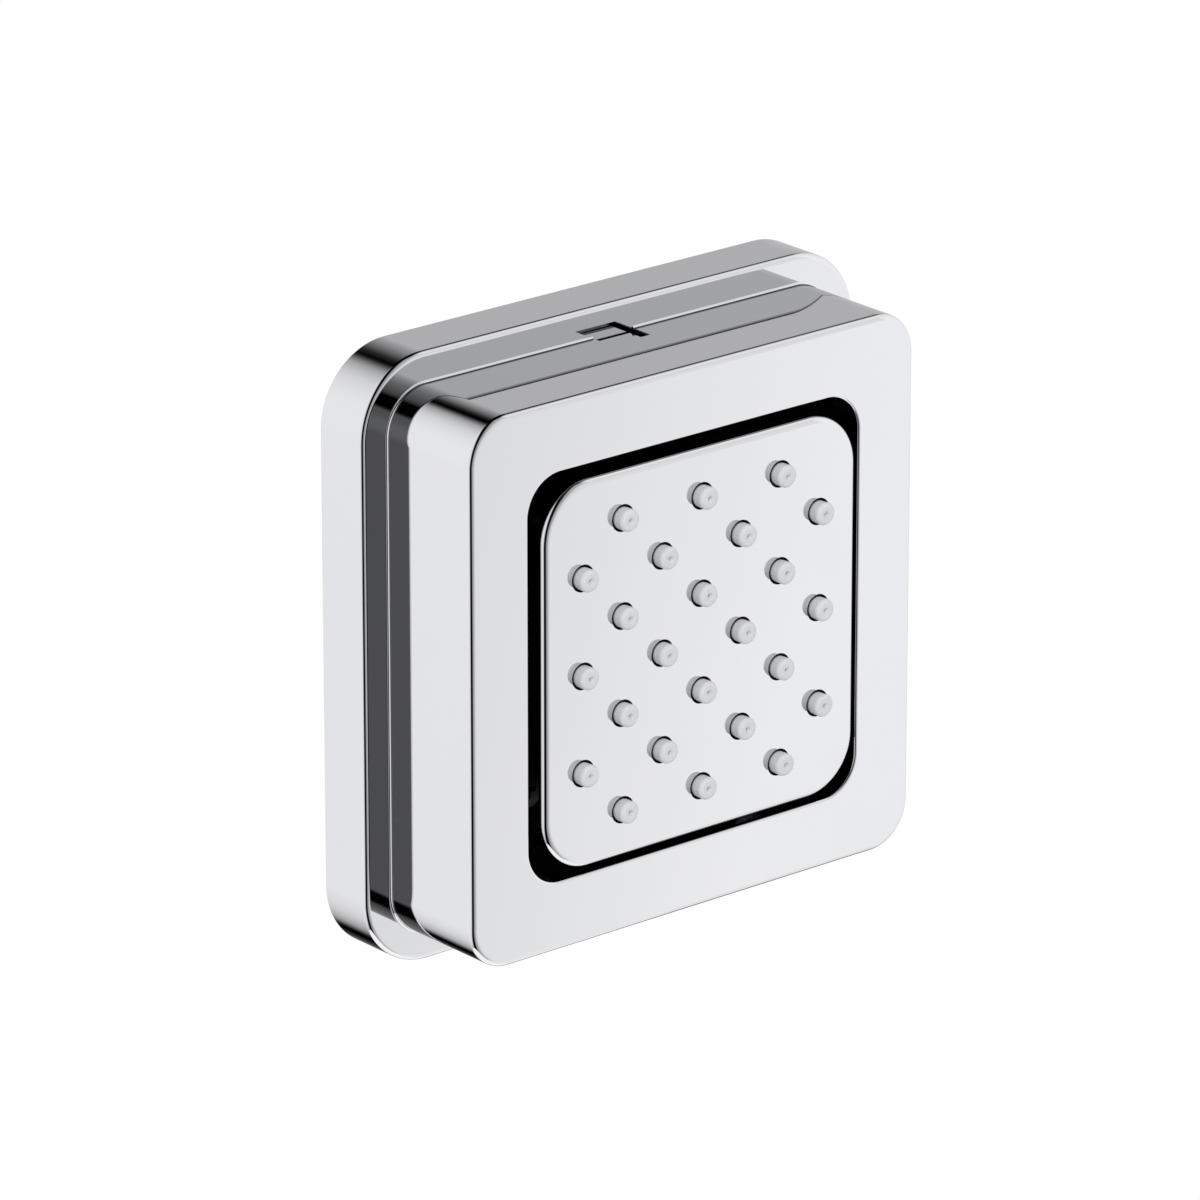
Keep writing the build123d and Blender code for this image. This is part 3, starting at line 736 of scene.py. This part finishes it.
near, far = numbers[[cove_start, cove_end]][:, [notch_column, notch_column + 1]]
plate.wall(np.array([*near, *far[::-1]]), FRONT)
inlet_hole = drill(plate, [(0.0, 0.0)], INLET_HOLE, PLATE_FRONT, PLATE_INNER, 96)
screw_holes = drill(plate, four_corners(SCREW_PLACE), SCREW_HOLE, PLATE_FRONT, PLATE_INNER, 24)
front_ring, rear_ring = beside_middle(numbers, across)
plate.flat([front_ring, *inlet_hole[:, 0], *screw_holes[:, 0]], FRONT)
plate.flat([rear_ring, *inlet_hole[:, -1], *screw_holes[:, -1]], REAR)
plate_skin = plate.piece("plate_skin", "wall_set", "chromed_abs", ["wall_plate"])

# %% [markdown]
# ## Head shell
# The shell is a box with a lipped window in front. Its section goes from the rear edge
# over the front, down the window, round the lip and back up the inside. The notch at the
# top centre is a gap in the grid: a few spans of one column are left out, and three small
# walls close it.

# %% Head shell
HEAD_REACH, HEAD_BACK, HEAD_FRONT, NOTCH_END = 45.0, 10.2, 30.0, 14.3
INSIDE_REACH, INSIDE_FRONT = 42.6, 27.6
WINDOW_CENTRE, WINDOW_REACH = 27.1, 33.5
LIP_REACH, LIP_BACK = 35.3, 25.0

shell_stops = [0.5, NOTCH_STOP, -NOTCH_STOP, -0.5]
shell_path = rounded_square(TURN_STEPS, shell_stops)
shell_rings, first, last = section([
    (CENTRE, HEAD_REACH, NOTCH_END, 0.0), (CENTRE, HEAD_REACH, HEAD_FRONT, 1.0),
    (WINDOW_CENTRE, WINDOW_REACH, HEAD_FRONT, 0.45), (WINDOW_CENTRE, WINDOW_REACH, LIP_BACK, 0.25),
    (WINDOW_CENTRE, LIP_REACH, LIP_BACK, 0.25), (WINDOW_CENTRE, LIP_REACH, INSIDE_FRONT, 0.4),
    (CENTRE, INSIDE_REACH, INSIDE_FRONT, 0.6), (CENTRE, INSIDE_REACH, NOTCH_END, 0.0),
    (CENTRE, INSIDE_REACH, HEAD_BACK, 0.2), (CENTRE, HEAD_REACH, HEAD_BACK, 0.35),
], steps=12)
at_notch_end = np.isclose(shell_rings[:, 1:], (INSIDE_REACH, NOTCH_END)).all(1)
inside_end = np.flatnonzero(at_notch_end)[-1]
notch_column = TURN_STEPS + 1 + shell_stops.index(NOTCH_STOP)
notch = np.zeros((len(shell_rings), len(shell_path[0])), bool)
notch[inside_end:, notch_column] = True
shell = Skin()
numbers = sweep(shell, shell_path, shell_rings, first, last, notch)
rim = np.append(numbers[inside_end:, notch_column], numbers[0, notch_column])
far_rim = np.append(numbers[inside_end:, notch_column + 1], numbers[0, notch_column + 1])
shell.wall(rim, np.array([-1.0, 0.0, 0.0]))
shell.wall(far_rim, np.array([1.0, 0.0, 0.0]))
shell.wall(np.array([rim[0], rim[-1], far_rim[-1], far_rim[0]]), REAR)
shell_skin = shell.piece("shell_skin", "wall_set", "chromed_abs", ["head_shell"])

# %% [markdown]
# ## Spray face
# The face is a pan with 24 holes on every second place of a square grid. Its front and
# its floor are flat, so each is filled between the pan's outline and the holes' rims.

# %% Spray face
NOZZLE_PITCH, HOLE_RADIUS = 8.0, 2.2
FACE_CENTRE, FACE_REACH, FACE_INSIDE = 22.55, 31.75, 29.95
FACE_FRONT, FACE_BACK, SKIRT_BACK = 31.5, 29.7, 25.7

grid = np.arange(-3, 4)
column, row = np.meshgrid(grid, grid, indexing="ij")
staggered = (column + row) % 2 == 1
nozzle_places = np.stack([column[staggered], row[staggered]], 1) * NOZZLE_PITCH
face_path = rounded_square(20, np.linspace(0.9, -0.9, 7))
face_section = section([
    (FACE_CENTRE, FACE_REACH, SKIRT_BACK, 0.15), (FACE_CENTRE, FACE_REACH, FACE_FRONT, 1.1),
    (0.0, 0.0, FACE_FRONT, 0.0), (0.0, 0.0, FACE_BACK, 0.0),
    (FACE_CENTRE, FACE_INSIDE, FACE_BACK, 0.4), (FACE_CENTRE, FACE_INSIDE, SKIRT_BACK, 0.15),
], steps=12)
face_rings, first, last, across = without_middle(*face_section)
face = Skin()
numbers = sweep(face, face_path, face_rings, first, last, across)
rims = drill(face, nozzle_places, HOLE_RADIUS, FACE_FRONT, FACE_BACK)
front_ring, rear_ring = beside_middle(numbers, across)
face.flat([front_ring, *rims[:, 0]], FRONT)
face.flat([rear_ring, *rims[:, -1]], REAR)
face_skin = face.piece("face_skin", "spray_head", "chromed_abs", ["spray_face"])

# %% [markdown]
# ## Nozzle mat
# One silicone mat carries all 24 nozzles. Each is a short barrel with a rounded tip and
# a small bore, turned from one outline. The mat's two flats are filled between its edge
# and the nozzles' feet, so that it is one closed skin.

# %% Nozzle mat
MAT_REACH, MAT_BACK = 29.75, 28.6
TIP, TIP_RADIUS, TIP_ROUNDING, FOOT_RADIUS = 33.5, 1.86, 0.65, 1.72
DIMPLE_RADIUS, DIMPLE_DEPTH, BORE_RADIUS, GROUND = 0.55, 0.6, 0.22, 6.0

mat_section = section([
    (FACE_CENTRE, MAT_REACH, MAT_BACK, 0.1), (FACE_CENTRE, MAT_REACH, FACE_BACK, 0.1),
    (0.0, 0.0, FACE_BACK, 0.0), (0.0, 0.0, MAT_BACK, 0.0),
], steps=3)
mat_rings, first, last, across = without_middle(*mat_section)
mat = Skin()
numbers = sweep(mat, face_path, mat_rings, first, last, across)
feet = turn_about(mat, nozzle_places, [
    (0.0, GROUND, FACE_BACK, 0.0), (0.0, FOOT_RADIUS, FACE_BACK, 0.0),
    (0.0, TIP_RADIUS, TIP, TIP_ROUNDING), (0.0, DIMPLE_RADIUS, TIP, 0.12),
    (0.0, BORE_RADIUS, TIP - DIMPLE_DEPTH, 0.0), (0.0, BORE_RADIUS, MAT_BACK, 0.0),
    (0.0, GROUND, MAT_BACK, 0.0),
], steps=8)
front_ring, rear_ring = beside_middle(numbers, across)
mat.flat([front_ring, *feet[:, 0]], FRONT)
mat.flat([rear_ring, *feet[:, -1]], REAR)
nozzle_field = mat.piece("nozzle_field", "spray_head", "silicone", ["nozzle_mat"])

# %% [markdown]
# ## Key cap
# In the notch sits the key of the inner frame. Its top is chromed like the shell, and a
# thin dark slit parts it from the wall plate. A small capped box over the key, with soft
# edges, gives both.

# %% Key cap
CAP_WIDE, CAP_TALL, CAP_REACH = 3.05, 0.85, 3.25
CAP_BACK, CAP_FRONT, CAP_LEVEL = 10.38, 14.05, 43.45

cap_square, cap_circle = rounded_square(6, [])
cap_path = (cap_square * np.array([1.0, CAP_TALL / CAP_WIDE]), cap_circle)
cap_section = section([
    (CAP_WIDE, CAP_REACH, CAP_BACK, 0.1), (CAP_WIDE, CAP_REACH, CAP_FRONT, 0.12),
    (0.0, 0.0, CAP_FRONT, 0.0), (0.0, 0.0, CAP_BACK, 0.0),
], steps=4)
cap_rings, first, last, across = without_middle(*cap_section)
cap = Skin()
numbers = sweep(cap, cap_path, cap_rings, first, last, across, centre=(0.0, CAP_LEVEL))
front_ring, rear_ring = beside_middle(numbers, across)
cap.flat([front_ring], FRONT)
cap.flat([rear_ring], REAR)
key_cap = cap.piece("key_cap", "wall_set", "chromed_abs")
